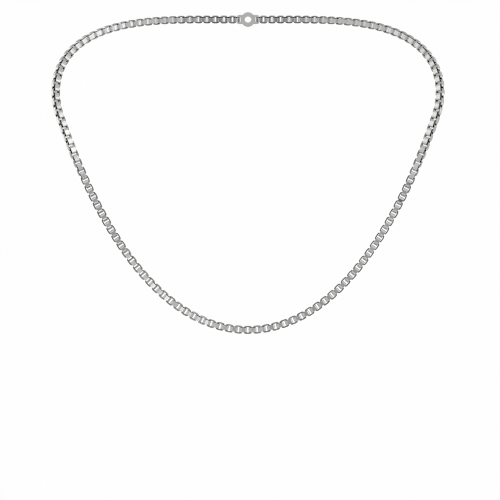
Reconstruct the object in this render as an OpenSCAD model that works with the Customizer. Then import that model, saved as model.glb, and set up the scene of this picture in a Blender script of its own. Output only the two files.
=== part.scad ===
// Box chain necklace: a closed loop of bulged box links, joined at the nape by a small clasp.
// Millimetres, +Z up, the wearer faces -Y. The origin is on the neck's axis, level with the nape.

/* [Loop] */
// Length of the whole loop with its clasp
loop_l = 457.2; // [440:0.2:500]
// Width of the hanging front stretch between its upper ends
front_w = 146.7; // [130:0.1:155]
// Drop of the front stretch, a catenary, from its upper ends to its lowest point
front_drop = 83.25; // [75:0.05:90]
// Lean of the front stretch, its lowest point forward
front_lean = 25; // [15:1:35]
// Climb from the front stretch's ends to the nape, above the horizontal
nape_climb = 28; // [18:1:34]
// Distance from the neck's axis to the chain at the nape
nape_r = 52; // [45:0.5:60]

/* [Link] */
// Length of a link along the chain
link_l = 3; // [2.98:0.01:3.3]
// Thickness of the band that a link is bent from
wire_t = 0.5; // [0.45:0.01:0.51]
// Width of that band
band_w = 1.74; // [1.6:0.01:1.9]
// Radius of a link's bulged sides
bulge_r = 6; // [4:0.05:9]
// Radius of a link's outer corners
corner_r = 0.45; // [0.35:0.05:0.7]
// Radius of the corners inside a link
inner_corner_r = 0.15; // [0.1:0.01:0.2]
// Gap between two links' bars where one pulls on the other
bar_play = 0.18; // [0.17:0.01:0.3]
// Gap on each side of a band inside its neighbour
side_play = 0.17; // [0.17:0.01:0.3]

/* [Clasp] */
// Length of the clasp
clasp_l = 9.5; // [8.5:0.1:14]
// Width of the clasp's body
clasp_w = 5.8; // [5:0.1:7]
// Thickness of the clasp's body
clasp_t = 2; // [1.6:0.1:2.6]
// Thickness of the clasp at its eyes
eye_t = 1.1; // [0.8:0.05:1.4]
// Wall round an eye
eye_wall = 0.8; // [0.6:0.05:0.9]
// Gap round a link's bar inside an eye
eye_play = 0.2; // [0.15:0.01:0.3]

/* [Hidden] */
$fn = 48;

// How far the chain is rolled about itself, its near side turning toward the inside of the loop:
// share of the way from the lowest point to the front stretch's end, degrees left, degrees right
rolls = [
    [0, 0, 0],
    [0.11, 0, 1],
    [0.13, -2.5, 1],
    [0.19, -2.5, 2],
    [0.21, 0, 2],
    [0.49, 0, 5],
    [0.52, 3.5, 5],
    [0.74, 4, 9],
    [0.79, 12, 12],
    [1, 38, 38]
];

// Link sizes that follow from its hollow, which two neighbours share
pitch = link_l - 2 * wire_t - bar_play;
inner_l = link_l - 2 * wire_t;
inner_bulge_r = bulge_r - wire_t;
neighbour_reach = inner_l / 2 - bar_play;
bulge_centre = band_w / 2 + side_play - sqrt(pow(inner_bulge_r, 2) - pow(neighbour_reach, 2));
link_w = 2 * (bulge_centre + bulge_r);

// The round corners stand this much proud of the bulged sides, so that the two meet in a clean line
corner_stand = 0.002;

// Clasp sizes that follow from the links it holds
eye_l = wire_t + 2 * eye_play;
eye_w = band_w + 2 * eye_play;
plate_w = eye_w + 2 * eye_wall;
plate_corner_r = eye_wall + eye_play;
clasp_hole_r = clasp_w / 4;
last_link_x = clasp_l / 2 - eye_wall + inner_l / 2 - eye_play;

// Links on each side of the middle one: an odd number, so that the last ones lie flat at the nape
side_links = 2 * round((loop_l / 2 - last_link_x) / pitch / 2 - 0.5) + 1;

// Directions of the front stretch's plane: across, up along it, and the way it faces
across = [1, 0, 0];
uphill = [0, sin(front_lean), cos(front_lean)];
facing = cross(across, uphill);

// A solved size is found by halving its range this many times
halvings = 30;

// Bend radius at the lowest point, between a hairpin and an almost level front stretch
sharpest_bend_r = front_w / 20;
flattest_bend_r = 4 * front_w;
front_bend_r = bend_for(sharpest_bend_r, flattest_bend_r, halvings);

// Arc lengths of one side's front stretch and of the stretch behind it
front_l = front_bend_r * sinh(front_w / 2 / front_bend_r);
back_l = side_links * pitch - front_l;

// The back stretch is a smooth curve of five poles from the front stretch's end to the last link. Its
// handles are shares of its own length. Its middle pole is over the shoulder: shares of the front
// stretch's half width, of the depth back to the nape and of the front end's drop below the nape
front_handle = 0.175;
nape_handle = 0.35;
shoulder = [1, 0.52, 0.28];
curve_steps = 60;
nape = [last_link_x, nape_r, 0];
front_end_way = catenary_way(front_l);
back_depth = depth_for(back_l, 0, 2 * back_l, halvings);
back_poles = poles(back_depth);
back_lengths = [
    for (k = 0, l = 0; k <= curve_steps; l = l + step_l(back_poles, k), k = k + 1) [l, k / curve_steps]
];
lowest = front_end(back_depth) - across * front_w / 2 - uphill * catenary_up(front_l);

// Direction of the chain at each link, and the side of it that faces forward when nothing is rolled
ways = [for (i = [0:side_links]) way(i * pitch)];
sides = [
    for (i = 0, n = facing; i <= side_links; i = i + 1, n = squared(n, ways[min(i, side_links)])) n
];
toward_neck = [0, -1, 0];
last_side = sides[side_links];
nape_roll = atan2(-toward_neck * cross(ways[side_links], last_side), toward_neck * last_side);

function sinh(v) = (exp(v) - exp(-v)) / 2;
function cosh(v) = (exp(v) + exp(-v)) / 2;
function asinh(v) = ln(v + sqrt(v * v + 1));
function unit(v) = v / norm(v);
function squared(n, t) = unit(n - (n * t) * t);

// Catenary through the lowest point, by arc length from there
function catenary_x(s) = front_bend_r * asinh(s / front_bend_r);
function catenary_up(s) = sqrt(pow(front_bend_r, 2) + s * s) - front_bend_r;
function catenary_way(s) = unit(across * front_bend_r + uphill * s);
function catenary_drop(bend_r) = bend_r * (cosh(front_w / 2 / bend_r) - 1);
function bend_for(low, high, tries) =
    let (middle = (low + high) / 2)
    tries == 0 ? middle
    : catenary_drop(middle) > front_drop ? bend_for(middle, high, tries - 1)
    : bend_for(low, middle, tries - 1);

// Curve of any number of poles, by halving them down to one or, for its direction, to two
function blended(p, u) = [for (k = [1:len(p) - 1]) p[k - 1] * (1 - u) + p[k] * u];
function curve(p, u) = len(p) == 1 ? p[0] : curve(blended(p, u), u);
function curve_way(p, u) = len(p) == 2 ? unit(p[1] - p[0]) : curve_way(blended(p, u), u);
function step_l(p, k) = norm(curve(p, (k + 1) / curve_steps) - curve(p, k / curve_steps));
function curve_l(p, k = 0) = k == curve_steps ? 0 : step_l(p, k) + curve_l(p, k + 1);

// The front stretch's end lies so far before and below the nape that the back stretch has its length
function front_end(depth) =
    [front_w / 2, nape_r - depth * cos(nape_climb), -depth * sin(nape_climb)];
function poles(depth) =
    let (end = front_end(depth))
    [
        end,
        end + front_handle * back_l * front_end_way,
        [shoulder[0] * end[0], nape_r - (1 - shoulder[1]) * (nape_r - end[1]), -shoulder[2] * end[2]],
        nape + nape_handle * back_l * across,
        nape
    ];
function depth_for(l, low, high, tries) =
    let (middle = (low + high) / 2)
    tries == 0 ? middle
    : curve_l(poles(middle)) < l ? depth_for(l, middle, high, tries - 1)
    : depth_for(l, low, middle, tries - 1);

// Place and direction of the right side's centreline, by arc length from the lowest point
function place(s) =
    s < front_l ? lowest + across * catenary_x(s) + uphill * catenary_up(s)
    : curve(back_poles, lookup(s - front_l, back_lengths));
function way(s) =
    s < front_l ? catenary_way(s) : curve_way(back_poles, lookup(s - front_l, back_lengths));

// Roll of a link, by the table in front and evenly on to the nape behind; column 1 is left, 2 right
function roll(i, column) =
    let (s = i * pitch, end_roll = rolls[len(rolls) - 1][column])
    s < front_l ? lookup(s / front_l, [for (r = rolls) [r[0], r[column]]])
    : end_roll + (nape_roll - end_roll) * (s - front_l) / back_l;

// Frame of a link: along the chain, across its bulges, through its hollow
function link_frame(i, column) =
    let (
        t = ways[i],
        n = sides[i],
        near = n * cos(roll(i, column)) - cross(t, n) * sin(roll(i, column)),
        hollow = i % 2 == 0 ? near : cross(t, near),
        bulge = cross(hollow, t),
        p = place(i * pitch)
    )
    [for (k = [0:2]) [t[k], bulge[k], hollow[k], p[k]]];

// Box outline with two bulged sides and round corners
module bulged_outline(l, w, side_r, r) {
    centre_y = w / 2 - side_r;
    corner_x = l / 2 - r;
    corner_y = centre_y + sqrt(pow(side_r - r, 2) - pow(corner_x, 2)) + corner_stand;
    tangent_x = corner_x * side_r / (side_r - r);
    square([l, 2 * corner_y], center = true);
    intersection() {
        square([2 * tangent_x, 2 * side_r], center = true);
        translate([0, centre_y]) circle(side_r);
        translate([0, -centre_y]) circle(side_r);
    }
    for (x = [-corner_x, corner_x], y = [-corner_y, corner_y]) translate([x, y]) circle(r);
}

// One link, its chain direction along X and its hollow along Z
module box_link() {
    linear_extrude(band_w, center = true) difference() {
        bulged_outline(link_l, link_w, bulge_r, corner_r);
        bulged_outline(inner_l, link_w - 2 * wire_t, inner_bulge_r, inner_corner_r);
    }
}

module chain_right() {
    color("silver") for (i = [0:side_links]) multmatrix(link_frame(i, 2)) box_link();
}

module chain_left() {
    color("silver") mirror(across) for (i = [1:side_links]) multmatrix(link_frame(i, 1)) box_link();
}

// Rectangle with round corners
module round_plate(l, w, r) {
    square([l - 2 * r, w], center = true);
    square([l, w - 2 * r], center = true);
    for (x = [r - l / 2, l / 2 - r], y = [r - w / 2, w / 2 - r]) translate([x, y]) circle(r);
}

module clasp() {
    color("silver") translate([0, nape_r, 0]) rotate([90, 0, 0]) difference() {
        union() {
            linear_extrude(eye_t, center = true) round_plate(clasp_l, plate_w, plate_corner_r);
            cylinder(h = clasp_t, r = clasp_w / 2, center = true);
        }
        cylinder(h = clasp_t + 1, r = clasp_hole_r, center = true);
        for (x = [-1, 1]) translate([x * (clasp_l / 2 - eye_wall - eye_l / 2), 0])
            linear_extrude(clasp_t + 1, center = true) round_plate(eye_l, eye_w, eye_play);
    }
}

chain_left();
chain_right();
clasp();
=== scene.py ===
"""Box chain necklace: finished links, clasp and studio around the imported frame. Metres, +Z up."""

import math

import bmesh
import bpy
import numpy as np
from bpy.props import FloatProperty, FloatVectorProperty, IntProperty, PointerProperty
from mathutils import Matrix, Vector


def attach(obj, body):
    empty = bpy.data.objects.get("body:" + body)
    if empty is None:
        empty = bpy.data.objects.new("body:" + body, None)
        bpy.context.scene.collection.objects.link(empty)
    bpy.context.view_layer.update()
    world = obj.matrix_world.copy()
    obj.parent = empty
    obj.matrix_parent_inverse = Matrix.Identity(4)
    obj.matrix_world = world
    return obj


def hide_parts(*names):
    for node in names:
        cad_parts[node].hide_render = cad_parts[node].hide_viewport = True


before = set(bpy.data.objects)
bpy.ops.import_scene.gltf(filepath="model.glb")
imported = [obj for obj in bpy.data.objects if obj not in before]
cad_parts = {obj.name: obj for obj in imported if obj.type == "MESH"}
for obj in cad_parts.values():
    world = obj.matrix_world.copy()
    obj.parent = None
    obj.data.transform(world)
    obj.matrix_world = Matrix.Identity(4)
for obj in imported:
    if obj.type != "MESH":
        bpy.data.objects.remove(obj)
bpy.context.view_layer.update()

bl_info = {
    "name": "Box chain necklace",
    "version": (1, 0, 0),
    "blender": (4, 5, 0),
    "location": "View3D > Sidebar > Necklace",
    "description": "Finishes the links and the clasp of a box chain necklace and sets up its studio",
    "category": "Object",
}

MM = 0.001
CHAIN_PIECES = {"chain_left": "left_chain_links", "chain_right": "right_chain_links"}

# Roughness of the best and of the least polished places, as shares of the polish roughness
POLISH_SPREAD = (0.7, 1.4)
# How fast scratches change along the band, as a share of how fast they change across it
SCRATCH_STRETCH = 0.12
# Noise levels between which a cloud of tarnish grows to its full strength
BLOOM_EDGES = (0.35, 0.65)
# Power of a normal's part along the hollow, which keeps the rims' painted shade off the rounded edges
RIM_POWER = 4

# Distance within which the clasp's seams are welded, and angle within which its faces count as flat
WELD_DISTANCE = 0.001 * MM
FLAT_ANGLE = math.radians(1)

# Camera's sensor width in millimetres, and the nearest distance in metres that it sees
SENSOR_WIDTH = 36
NEAREST_SEEN = 0.01

# Round soft panels of the room: name, degrees from the camera's direction, turn about it from the camera's
# right through up, radius, softness of the edge, brightness added to the room's. A scratch program fitted all
# but the last to the photo's tones, and they were then rounded by hand
SOFT_PANELS = (
    ("window_below_lens", 14, 270, 7, 2, 0.9),
    ("dark_above_lens", 15, 110, 4, 2, -0.5),
    ("dark_right_of_lens", 9, 35, 11, 9, -0.25),
    ("card_left_of_lens", 8, 210, 3, 2, 0.5),
    ("soft_box_right", 50, 20, 20, 5, 0.55),
    ("soft_box_left", 60, 155, 17, 10, 0.35),
    ("soft_box_top", 25, 80, 18, 10, 0.1),
    ("soft_box_behind", 110, 180, 27, 10, 0.45),
    ("soft_box_far_right", 90, 0, 18, 8, 0.6),
    ("dark_table", 65, 270, 38, 15, -0.4),
    ("low_card", 40, 270, 10, 3, 0.35),
)


class LinkSizes(bpy.types.PropertyGroup):
    """Sizes of a finished link that its length, width and band width don't give."""

    band_thickness: FloatProperty(
        name="Band thickness",
        description="Thickness of the band that a link is bent from",
        default=0.5 * MM, unit="LENGTH", precision=5,
    )
    bulge_radius: FloatProperty(
        name="Bulge radius",
        description="Radius of a link's bulged sides, beside their facets",
        default=4.5 * MM, unit="LENGTH", precision=5,
    )
    inner_bulge_radius: FloatProperty(
        name="Inner bulge radius",
        description="Radius of the bulged sides inside a link",
        default=5.5 * MM, unit="LENGTH", precision=5,
    )
    corner_radius: FloatProperty(
        name="Corner radius",
        description="Radius of a link's outer corners",
        default=0.45 * MM, unit="LENGTH", precision=5,
    )
    inner_corner_radius: FloatProperty(
        name="Inner corner radius",
        description="Radius of the corners inside a link",
        default=0.15 * MM, unit="LENGTH", precision=5,
    )
    edge_radius: FloatProperty(
        name="Edge radius",
        description="Tumbled rounding along the band's edges",
        default=0.08 * MM, unit="LENGTH", precision=5,
    )
    facet_half: FloatProperty(
        name="Facet half length",
        description="Half the length of the flat facet cut on each bulged side",
        default=0.53 * MM, unit="LENGTH", precision=5,
    )
    crease: FloatProperty(
        name="Facet crease",
        description="Width of the crease where a facet meets the bulge",
        default=0.03 * MM, unit="LENGTH", precision=5,
    )
    tilt: FloatProperty(
        name="Tilt per link",
        description="Most that a loose link is tilted or twisted from its even place",
        default=math.radians(1.2), unit="ROTATION",
    )
    side_steps: IntProperty(
        name="Side steps", description="Flat steps of half a bulged side", default=6, min=1,
    )
    corner_steps: IntProperty(
        name="Corner steps", description="Flat steps round a corner", default=6, min=1,
    )
    end_steps: IntProperty(
        name="End steps", description="Flat steps of half an end bar", default=2, min=1,
    )
    edge_steps: IntProperty(
        name="Edge steps", description="Flat steps round a tumbled edge", default=2, min=1,
    )


class ClaspSizes(bpy.types.PropertyGroup):
    """Sizes of the clasp's finished edges."""

    edge_radius: FloatProperty(
        name="Edge radius",
        description="Tumbled rounding along the clasp's edges",
        default=0.12 * MM, unit="LENGTH", precision=5,
    )
    sharp_angle: FloatProperty(
        name="Sharp angle",
        description="Outer edges where two faces meet at more than this are rounded",
        default=math.radians(35), unit="ROTATION",
    )
    edge_steps: IntProperty(
        name="Edge steps", description="Flat steps round a tumbled edge", default=4, min=1,
    )


class SilverFinish(bpy.types.PropertyGroup):
    """Colours, painted shade, polish and wear of the silver."""

    bright: FloatVectorProperty(
        name="Bright silver", description="Colour of the polished faces",
        default=(0.94, 0.935, 0.925), subtype="COLOR", size=3, min=0, max=1,
    )
    # Painted shade: the inside of the links is coloured far darker than the silver, standing in for the shade
    # in the hollows and in the gaps between links
    hollow_shade: FloatVectorProperty(
        name="Dull silver", description="Colour inside the links, where a cloth doesn't reach",
        default=(0.2, 0.197, 0.193), subtype="COLOR", size=3, min=0, max=1,
    )
    # Painted shade: the cut rims are coloured darker than the polished faces, drawing a dark outline round
    # every link
    shaded_rim: FloatVectorProperty(
        name="Cut rims", description="Colour of the band's cut rims",
        default=(0.45, 0.445, 0.44), subtype="COLOR", size=3, min=0, max=1,
    )
    polish: FloatProperty(
        name="Polish roughness", description="Roughness of the polished faces",
        default=0.1, subtype="FACTOR", min=0, max=1,
    )
    rim_roughness: FloatProperty(
        name="Rim roughness", description="Roughness of the cut rims and of the inside",
        default=0.2, subtype="FACTOR", min=0, max=1,
    )
    handling_scale: FloatProperty(
        name="Handling scale", description="Patches of more or less polish in a metre",
        default=160, min=0,
    )
    scratch_depth: FloatProperty(
        name="Scratch depth", description="Depth of the polishing scratches along the band",
        default=0.0008 * MM, unit="LENGTH", precision=7,
    )
    scratch_scale: FloatProperty(
        name="Scratch scale", description="Scratches in a metre across the band",
        default=12000, min=0,
    )
    ripple_depth: FloatProperty(
        name="Ripple depth", description="Depth of the slow ripples that rolling and tumbling leave",
        default=0.005 * MM, unit="LENGTH", precision=7,
    )
    ripple_scale: FloatProperty(
        name="Ripple scale", description="Ripples in a metre of band",
        default=700, min=0,
    )
    bloom: FloatProperty(
        name="Tarnish bloom", description="How much the thin clouds of tarnish darken the silver",
        default=0.06, subtype="FACTOR", min=0, max=1,
    )
    bloom_scale: FloatProperty(
        name="Bloom scale", description="Clouds of tarnish in a metre",
        default=450, min=0,
    )
    link_tint: FloatProperty(
        name="Tint per link", description="How much darker the dullest link is than the brightest",
        default=0.08, subtype="FACTOR", min=0, max=1,
    )


class StudioSizes(bpy.types.PropertyGroup):
    """Camera, floor and light."""

    elevation: FloatProperty(
        name="Camera elevation",
        description="Angle of the camera above the horizon, square to the front stretch",
        default=math.radians(25), unit="ROTATION",
    )
    distance: FloatProperty(
        name="Camera distance",
        description="Distance of the camera from the front stretch's plane",
        default=0.39014, unit="LENGTH",
    )
    lens: FloatProperty(
        name="Lens", description="Focal length", default=72, unit="CAMERA", min=1,
    )
    aim_up: FloatProperty(
        name="Aim height",
        description="Height of the view's centre above the lowest link, up the front stretch",
        default=0.03115, unit="LENGTH",
    )
    aim_across: FloatProperty(
        name="Aim across",
        description="Distance of the view's centre to the right of the lowest link",
        default=0.00085, unit="LENGTH",
    )
    pixel_filter: FloatProperty(
        name="Pixel filter",
        description="Width of the pixel filter, narrower for a crisper picture",
        default=1.0, min=0.01,
    )
    floor_drop: FloatProperty(
        name="Floor drop",
        description="Height from the floor to the lowest link",
        default=0.25, unit="LENGTH",
    )
    floor_half: FloatProperty(
        name="Floor half width",
        description="Half the width of the paper floor",
        default=3, unit="LENGTH",
    )
    room: FloatProperty(
        name="Room brightness",
        description="Brightness of the room between its panels, the paper being 1",
        default=0.54, min=0,
    )
    paper: FloatVectorProperty(
        name="Paper",
        description="Colour of the floor and the backdrop as the camera sees them",
        default=(0.99, 0.99, 0.99), subtype="COLOR", size=3, min=0, max=1,
    )


def arc_row(x, y, radius, turn):
    """Point and outward normal of an arc round x, y, at a turn from its top toward the right."""
    right, up = math.sin(turn), math.cos(turn)
    return x + radius * right, y + radius * up, right, up


def quarter_outline(length, width, side_radius, corner_radius, facet, sizes):
    """Points and outward normals of a bulged box from the middle of a side to the middle of an end.

    Where facet is true, the middle of the side is cut flat. Otherwise it keeps its bulge.
    """
    centre = width / 2 - side_radius
    corner_x = length / 2 - corner_radius
    corner_y = centre + math.sqrt((side_radius - corner_radius) ** 2 - corner_x**2)
    corner_turn = math.asin(corner_x / (side_radius - corner_radius))
    facet_y = centre + math.sqrt(side_radius**2 - sizes.facet_half**2)
    bulge_turn = math.asin(sizes.facet_half / side_radius) + sizes.crease / 2 / side_radius
    rows = []
    for x in (0, sizes.facet_half - sizes.crease / 2):
        bulged = arc_row(0, centre, side_radius, math.asin(x / side_radius))
        rows.append((x, facet_y, 0, 1) if facet else bulged)
    for k in range(sizes.side_steps + 1):
        turn = bulge_turn + (corner_turn - bulge_turn) * k / sizes.side_steps
        rows.append(arc_row(0, centre, side_radius, turn))
    for k in range(1, sizes.corner_steps + 1):
        turn = corner_turn + (math.pi / 2 - corner_turn) * k / sizes.corner_steps
        rows.append(arc_row(corner_x, corner_y, corner_radius, turn))
    for k in range(1, sizes.end_steps + 1):
        rows.append((length / 2, corner_y * (1 - k / sizes.end_steps), 1, 0))
    return np.array(rows, dtype=float)


def whole_outline(quarter):
    """The quarter mirrored twice into a closed outline."""
    back = quarter[::-1]
    return np.concatenate([
        quarter,
        (back * [1, -1, 1, -1])[1:],
        (quarter * [-1, -1, -1, -1])[1:],
        (back * [-1, 1, -1, 1])[1:-1],
    ])


def link_pattern(length, width, band, sizes):
    """Points, normals, quads and inside shares of one link.

    The chain's direction is X, the bulged sides are across Y, and the hollow is open along Z.
    """
    thickness, edge = sizes.band_thickness, sizes.edge_radius
    outer = whole_outline(quarter_outline(
        length, width, sizes.bulge_radius, sizes.corner_radius, True, sizes,
    ))
    inner = whole_outline(quarter_outline(
        length - 2 * thickness, width - 2 * thickness,
        sizes.inner_bulge_radius, sizes.inner_corner_radius, False, sizes,
    ))
    up = np.array([0.0, 0.0, 1.0])
    lift = (band / 2 - edge) * up
    points, normals, inside = [], [], []
    for out_row, in_row in zip(outer, inner):
        out_way = np.array([*out_row[2:], 0.0])
        in_way = -np.array([*in_row[2:], 0.0])
        out_core = np.array([*out_row[:2], 0.0]) - edge * out_way
        in_core = np.array([*in_row[:2], 0.0]) - edge * in_way
        edges = (
            (out_core + lift, out_way, up, 0.0),
            (in_core + lift, up, in_way, 1.0),
            (in_core - lift, in_way, -up, 1.0),
            (out_core - lift, -up, out_way, 0.0),
        )
        for centre, first, last, share in edges:
            for k in range(sizes.edge_steps + 1):
                turn = math.pi / 2 * k / sizes.edge_steps
                way = math.cos(turn) * first + math.sin(turn) * last
                points.append(centre + edge * way)
                normals.append(way)
                inside.append(share)
    numbers = np.arange(len(points)).reshape(len(outer), -1)
    round_edge = np.roll(numbers, -1, axis=1)
    along, both = np.roll(numbers, -1, axis=0), np.roll(round_edge, -1, axis=0)
    quads = np.stack([round_edge, both, along, numbers], axis=-1).reshape(-1, 4)
    return np.array(points), np.array(normals), quads, np.array(inside)


def loose_islands(mesh):
    """Vertices' places, triangles and island number of each triangle in a CAD mesh, seams welded."""
    places = np.empty(len(mesh.vertices) * 3)
    mesh.vertices.foreach_get("co", places)
    places, same = np.unique(places.reshape(-1, 3), axis=0, return_inverse=True)
    mesh.calc_loop_triangles()
    triangles = np.empty(len(mesh.loop_triangles) * 3, dtype=int)
    mesh.loop_triangles.foreach_get("vertices", triangles)
    triangles = same.reshape(-1)[triangles].reshape(-1, 3)
    label = np.arange(len(places))
    while True:
        lowest = label[triangles].min(axis=1)
        new = label.copy()
        for k in range(3):
            np.minimum.at(new, triangles[:, k], lowest)
        new = new[new]
        if (new == label).all():
            break
        label = new
    return places, triangles, label[triangles[:, 0]]


def link_seats(node):
    """Centre, axes (chain, bulge, hollow) and extents of every link in a chain node, left to right.

    A link's skin spreads least through its hollow, and its chain direction is the one nearer its neighbour.
    """
    places, triangles, numbers = loose_islands(node.data)
    links = []
    for number in np.unique(numbers):
        corners = places[triangles[numbers == number]]
        sides = corners[:, 1:] - corners[:, :1]
        area = np.linalg.norm(np.cross(sides[:, 0], sides[:, 1]), axis=1)
        centre = (corners.mean(axis=1) * area[:, None]).sum(axis=0) / area.sum()
        arms = corners - centre
        summed = arms.sum(axis=1)
        spread = np.einsum("n,nki,nkj->ij", area, arms, arms)
        spread += np.einsum("n,ni,nj->ij", area, summed, summed)
        ways = np.linalg.eigh(spread)[1].T
        links.append((centre, ways, arms.reshape(-1, 3)))
    links.sort(key=lambda link: link[0][0])
    centres = np.array([centre for centre, _, _ in links])
    seats = []
    for centre, ways, arms in links:
        gaps = np.linalg.norm(centres - centre, axis=1)
        toward_next = centres[np.argsort(gaps)[1]] - centre
        hollow = ways[0]
        along = max(ways[1:], key=lambda way: abs(way @ toward_next))
        axes = np.array([along, np.cross(hollow, along), hollow])
        seats.append((centre, axes, np.ptp(arms @ axes.T, axis=0)))
    return seats


def tilted(axes, angles):
    """A link's axes turned by small angles about themselves."""
    x, y, z = angles
    turn = np.array([[1, -z, y], [z, 1, -x], [-y, x, 1]])
    rows = turn.T @ axes
    first = rows[0] / np.linalg.norm(rows[0])
    second = rows[1] - (rows[1] @ first) * first
    second /= np.linalg.norm(second)
    return np.array([first, second, np.cross(first, second)])


def new_mesh_object(name, points, faces, normals):
    """An object with smooth faces and set normals, linked to the scene."""
    mesh = bpy.data.meshes.new(name)
    mesh.from_pydata(points.tolist(), [], faces.tolist())
    mesh.polygons.foreach_set("use_smooth", [True] * len(mesh.polygons))
    mesh.update()
    mesh.normals_split_custom_set_from_vertices(normals.tolist())
    piece = bpy.data.objects.new(name, mesh)
    bpy.context.scene.collection.objects.link(piece)
    return piece


def add_grain(mesh, places):
    """Store each vertex's place in the band's own directions: scratches run along its first two."""
    grain = mesh.attributes.new("grain", "FLOAT_VECTOR", "POINT")
    grain.data.foreach_set("vector", np.ravel(places))


def add_node(nodes, links, kind, inputs, settings=None):
    """A new node with its settings made and each named input given a link or a value."""
    node = nodes.new(kind)
    for name, value in (settings or {}).items():
        setattr(node, name, value)
    for name, value in inputs.items():
        if isinstance(value, bpy.types.NodeSocket):
            links.new(value, node.inputs[name])
        else:
            node.inputs[name].default_value = value
    return node


def silver_colour(nodes, links, place, share, finish):
    """Colour of the silver: painted shade inside the links and a darker painted shade on the rims, with
    tarnish and a tint for each link.
    """
    lit = add_node(nodes, links, "ShaderNodeMapRange", {
        "Value": share["tone"], "To Min": 1 - finish.link_tint, "To Max": 1.0,
    })
    cloud = add_node(nodes, links, "ShaderNodeTexNoise", {
        "Vector": place, "Scale": finish.bloom_scale, "Detail": 3.0,
    })
    bloom = add_node(nodes, links, "ShaderNodeMapRange", {
        "Value": cloud.outputs["Fac"], "From Min": BLOOM_EDGES[0], "From Max": BLOOM_EDGES[1],
        "To Min": 1.0, "To Max": 1 - finish.bloom,
    })
    tint = add_node(nodes, links, "ShaderNodeMath", {
        0: lit.outputs["Result"], 1: bloom.outputs["Result"],
    }, {"operation": "MULTIPLY"})
    # Painted shade: the inside faces take the dark hollow colour
    inside_shaded = add_node(nodes, links, "ShaderNodeMix", {
        "Factor": share["inside"], "A": (*finish.bright, 1), "B": (*finish.hollow_shade, 1),
    }, {"data_type": "RGBA"})
    # Painted shade: the rims take a darker colour, a dark outline
    rimmed = add_node(nodes, links, "ShaderNodeMix", {
        "Factor": share["shaded_rim"], "A": inside_shaded.outputs["Result"], "B": (*finish.shaded_rim, 1),
    }, {"data_type": "RGBA"})
    toned = add_node(nodes, links, "ShaderNodeVectorMath", {
        0: rimmed.outputs["Result"], "Scale": tint.outputs["Value"],
    }, {"operation": "SCALE"})
    return toned.outputs["Vector"]


def silver_roughness(nodes, links, place, share, finish):
    """Roughness of the silver: uneven where it is polished, even inside and on the rims."""
    handling = add_node(nodes, links, "ShaderNodeTexNoise", {
        "Vector": place, "Scale": finish.handling_scale, "Detail": 5.0,
    })
    polish = add_node(nodes, links, "ShaderNodeMapRange", {
        "Value": handling.outputs["Fac"],
        "To Min": finish.polish * POLISH_SPREAD[0], "To Max": finish.polish * POLISH_SPREAD[1],
    })
    sheltered = add_node(nodes, links, "ShaderNodeMath", {
        0: share["inside"], 1: share["shaded_rim"],
    }, {"operation": "MAXIMUM"})
    rough = add_node(nodes, links, "ShaderNodeMix", {
        "Factor": sheltered.outputs["Value"], "A": polish.outputs["Result"], "B": finish.rim_roughness,
    })
    return rough.outputs["Result"]


def silver_relief(nodes, links, finish):
    """Relief of the silver: fine scratches drawn along the band, and slow ripples."""
    grain = add_node(nodes, links, "ShaderNodeAttribute", {}, {"attribute_name": "grain"})
    stretched = add_node(nodes, links, "ShaderNodeMapping", {
        "Vector": grain.outputs["Vector"], "Scale": (SCRATCH_STRETCH, SCRATCH_STRETCH, 1.0),
    })
    lines = add_node(nodes, links, "ShaderNodeTexNoise", {
        "Vector": stretched.outputs["Vector"], "Scale": finish.scratch_scale, "Detail": 4.0,
    })
    waves = add_node(nodes, links, "ShaderNodeTexNoise", {
        "Vector": grain.outputs["Vector"], "Scale": finish.ripple_scale, "Detail": 1.0,
    })
    scratched = add_node(nodes, links, "ShaderNodeBump", {
        "Height": lines.outputs["Fac"], "Distance": finish.scratch_depth,
    })
    rippled = add_node(nodes, links, "ShaderNodeBump", {
        "Height": waves.outputs["Fac"], "Distance": finish.ripple_depth,
        "Normal": scratched.outputs["Normal"],
    })
    return rippled.outputs["Normal"]


def bright_silver(name, finish):
    """Polished silver that reads the shares, the tone and the grain stored on a piece."""
    material = bpy.data.materials.new(name)
    material.use_nodes = True
    nodes, links = material.node_tree.nodes, material.node_tree.links
    shader = nodes["Principled BSDF"]
    shader.inputs["Metallic"].default_value = 1.0
    place = nodes.new("ShaderNodeTexCoord").outputs["Object"]
    share = {}
    for part in ("inside", "shaded_rim", "tone"):
        stored = add_node(nodes, links, "ShaderNodeAttribute", {}, {"attribute_name": part})
        share[part] = stored.outputs["Fac"]
    links.new(silver_colour(nodes, links, place, share, finish), shader.inputs["Base Color"])
    links.new(silver_roughness(nodes, links, place, share, finish), shader.inputs["Roughness"])
    links.new(silver_relief(nodes, links, finish), shader.inputs["Normal"])
    return material


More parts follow.
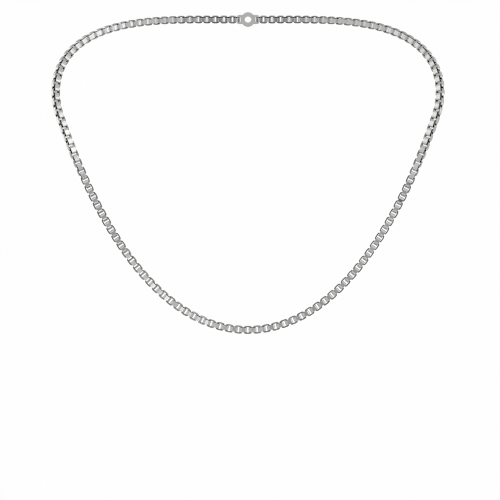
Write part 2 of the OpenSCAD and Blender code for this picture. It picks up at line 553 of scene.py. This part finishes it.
class NECKLACE_OT_chain_links(bpy.types.Operator):
    """Put a finished link in the place of every loose link of both chains"""

    bl_idname = "necklace.chain_links"
    bl_label = "Chain links"

    def execute(self, context):
        sizes, finish = context.scene.necklace_links, context.scene.necklace_silver
        silver = bright_silver("bright_silver_links", finish)
        for node_name, piece_name in CHAIN_PIECES.items():
            seats = link_seats(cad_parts[node_name])
            length, width, band = np.median([extent for _, _, extent in seats], axis=0)
            points, normals, quads, inside = link_pattern(length, width, band, sizes)
            # Where the painted rim shade goes: faces turned along the hollow
            shaded_rim = normals[:, 2] ** RIM_POWER
            count = len(seats)
            random = np.random.default_rng(count)
            tilts = random.uniform(-sizes.tilt, sizes.tilt, (count, 3))
            tones = random.random(count)
            offsets = random.uniform(0, 1, (count, 3))
            turned = [tilted(axes, angles) for (_, axes, _), angles in zip(seats, tilts)]
            placed = [points @ axes + centre for axes, (centre, _, _) in zip(turned, seats)]
            piece = new_mesh_object(
                piece_name,
                np.concatenate(placed),
                np.concatenate([quads + k * len(points) for k in range(count)]),
                np.concatenate([normals @ axes for axes in turned]),
            )
            # The inside and rim shares say where the silver is darkened with painted shade
            shares = {
                "inside": np.tile(inside, count),
                "shaded_rim": np.tile(shaded_rim, count),
                "tone": np.repeat(tones, len(points)),
            }
            for name, values in shares.items():
                share = piece.data.attributes.new(name, "FLOAT", "POINT")
                share.data.foreach_set("value", values)
            add_grain(piece.data, np.concatenate([points + offset for offset in offsets]))
            piece.data.materials.append(silver)
            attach(piece, "root")
            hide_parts(node_name)
        return {"FINISHED"}


def tumbled_plate(source, sizes):
    """A copy of the clasp's mesh, its seams welded, its flat faces merged and its outer edges rounded."""
    mesh = bmesh.new()
    mesh.from_mesh(source)
    bmesh.ops.remove_doubles(mesh, verts=mesh.verts, dist=WELD_DISTANCE)
    bmesh.ops.dissolve_limit(mesh, angle_limit=FLAT_ANGLE, verts=mesh.verts, edges=mesh.edges)
    sharp = [edge for edge in mesh.edges if edge.calc_face_angle_signed(0) > sizes.sharp_angle]
    bmesh.ops.bevel(
        mesh, geom=sharp, offset=sizes.edge_radius, offset_type="OFFSET", segments=sizes.edge_steps,
        profile=0.5, affect="EDGES", clamp_overlap=True,
    )
    for face in mesh.faces:
        face.smooth = True
    for edge in mesh.edges:
        edge.smooth = edge.calc_face_angle(0) < sizes.sharp_angle
    plate = bpy.data.meshes.new("clasp_plate")
    mesh.to_mesh(plate)
    add_grain(plate, [vertex.co for vertex in mesh.verts])
    mesh.free()
    return plate


class NECKLACE_OT_clasp(bpy.types.Operator):
    """Give the clasp its tumbled edges"""

    bl_idname = "necklace.clasp"
    bl_label = "Clasp"

    def execute(self, context):
        sizes, finish = context.scene.necklace_clasp, context.scene.necklace_silver
        plate = tumbled_plate(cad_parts["clasp"].data, sizes)
        piece = bpy.data.objects.new("clasp_plate", plate)
        context.scene.collection.objects.link(piece)
        even = piece.modifiers.new("even_light", "WEIGHTED_NORMAL")
        even.keep_sharp = True
        plate.materials.append(bright_silver("bright_silver_clasp", finish))
        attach(piece, "root")
        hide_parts("clasp")
        return {"FINISHED"}


def soft_room(studio, right, up, facing):
    """World light: an even room with round soft panels, and white paper where the camera looks."""
    world = bpy.data.worlds.new("soft_room")
    world.use_nodes = True
    nodes, links = world.node_tree.nodes, world.node_tree.links
    look = nodes.new("ShaderNodeTexCoord").outputs["Generated"]
    level = studio.room
    for name, away, turn, radius, soft, gain in SOFT_PANELS:
        away, turn = math.radians(away), math.radians(turn)
        sideways = right * math.cos(turn) + up * math.sin(turn)
        axis = facing * math.cos(away) + sideways * math.sin(away)
        nearness = add_node(nodes, links, "ShaderNodeVectorMath", {
            0: look, 1: axis,
        }, {"operation": "DOT_PRODUCT"})
        panel = add_node(nodes, links, "ShaderNodeMapRange", {
            "Value": nearness.outputs["Value"],
            "From Min": math.cos(math.radians(radius + soft)),
            "From Max": math.cos(math.radians(radius - soft)),
            "To Min": 0.0, "To Max": gain,
        }, {"interpolation_type": "SMOOTHSTEP", "label": name})
        added = add_node(nodes, links, "ShaderNodeMath", {
            0: level, 1: panel.outputs["Result"],
        }, {"operation": "ADD"})
        level = added.outputs["Value"]
    room = nodes["Background"]
    links.new(level, room.inputs["Color"])
    paper = add_node(nodes, links, "ShaderNodeBackground", {"Color": (*studio.paper, 1)})
    seen = nodes.new("ShaderNodeLightPath").outputs["Is Camera Ray"]
    mixed = add_node(nodes, links, "ShaderNodeMixShader", {
        "Fac": seen, 1: room.outputs["Background"], 2: paper.outputs["Background"],
    })
    links.new(mixed.outputs["Shader"], nodes["World Output"].inputs["Surface"])
    return world


def paper_floor(studio, height):
    """A plain floor of white paper, as bright as the backdrop and left out of the links' reflections."""
    half = studio.floor_half
    mesh = bpy.data.meshes.new("paper_floor")
    corners = [(-half, -half, height), (half, -half, height), (half, half, height), (-half, half, height)]
    mesh.from_pydata(corners, [], [(0, 1, 2, 3)])
    material = bpy.data.materials.new("white_paper")
    material.use_nodes = True
    shader = material.node_tree.nodes["Principled BSDF"]
    shader.inputs["Base Color"].default_value = (0, 0, 0, 1)
    shader.inputs["Specular IOR Level"].default_value = 0
    shader.inputs["Roughness"].default_value = 1
    shader.inputs["Emission Color"].default_value = (*studio.paper, 1)
    shader.inputs["Emission Strength"].default_value = 1
    mesh.materials.append(material)
    floor = bpy.data.objects.new("paper_floor", mesh)
    floor.visible_glossy = False
    return floor


class NECKLACE_OT_studio(bpy.types.Operator):
    """Set up the pale floor, the soft light and the camera"""

    bl_idname = "necklace.studio"
    bl_label = "Studio"

    def execute(self, context):
        scene, studio = context.scene, context.scene.necklace_studio
        scene.view_settings.view_transform = "Standard"
        scene.cycles.filter_width = studio.pixel_filter
        centres = [centre for centre, _, _ in link_seats(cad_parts["chain_right"])]
        lowest = Vector(min(centres, key=lambda centre: centre[2]))
        lean = studio.elevation
        right = Vector((1, 0, 0))
        uphill = Vector((0, math.sin(lean), math.cos(lean)))
        facing = Vector((0, -math.cos(lean), math.sin(lean)))
        aim = lowest + uphill * studio.aim_up + right * studio.aim_across
        camera = bpy.data.objects.new("camera", bpy.data.cameras.new("camera"))
        scene.collection.objects.link(camera)
        camera.data.lens = studio.lens
        camera.data.sensor_width = SENSOR_WIDTH
        camera.data.clip_start = NEAREST_SEEN
        camera.location = aim + facing * studio.distance
        camera.rotation_euler = (math.pi / 2 - lean, 0, 0)
        scene.camera = camera
        scene.world = soft_room(studio, right, uphill, facing)
        floor = paper_floor(studio, lowest.z - studio.floor_drop)
        scene.collection.objects.link(floor)
        return {"FINISHED"}


class NECKLACE_PT_sidebar(bpy.types.Panel):
    """Lists the necklace's pieces and its studio"""

    bl_idname = "NECKLACE_PT_sidebar"
    bl_label = "Box chain necklace"
    bl_space_type = "VIEW_3D"
    bl_region_type = "UI"
    bl_category = "Necklace"

    def draw(self, context):
        scene = context.scene
        groups = (scene.necklace_links, scene.necklace_clasp, scene.necklace_silver, scene.necklace_studio)
        for group in groups:
            box = self.layout.box()
            for name in group.__annotations__:
                box.prop(group, name)
        for step in STEPS:
            self.layout.operator(step.bl_idname)


STEPS = (NECKLACE_OT_chain_links, NECKLACE_OT_clasp, NECKLACE_OT_studio)
CLASSES = (LinkSizes, ClaspSizes, SilverFinish, StudioSizes, *STEPS, NECKLACE_PT_sidebar)


def register():
    for cls in CLASSES:
        bpy.utils.register_class(cls)
    bpy.types.Scene.necklace_links = PointerProperty(type=LinkSizes)
    bpy.types.Scene.necklace_clasp = PointerProperty(type=ClaspSizes)
    bpy.types.Scene.necklace_silver = PointerProperty(type=SilverFinish)
    bpy.types.Scene.necklace_studio = PointerProperty(type=StudioSizes)


def unregister():
    del bpy.types.Scene.necklace_studio
    del bpy.types.Scene.necklace_silver
    del bpy.types.Scene.necklace_clasp
    del bpy.types.Scene.necklace_links
    for cls in reversed(CLASSES):
        bpy.utils.unregister_class(cls)


def main():
    register()
    bpy.ops.necklace.chain_links()
    bpy.ops.necklace.clasp()
    bpy.ops.necklace.studio()


if __name__ == "__main__":
    main()
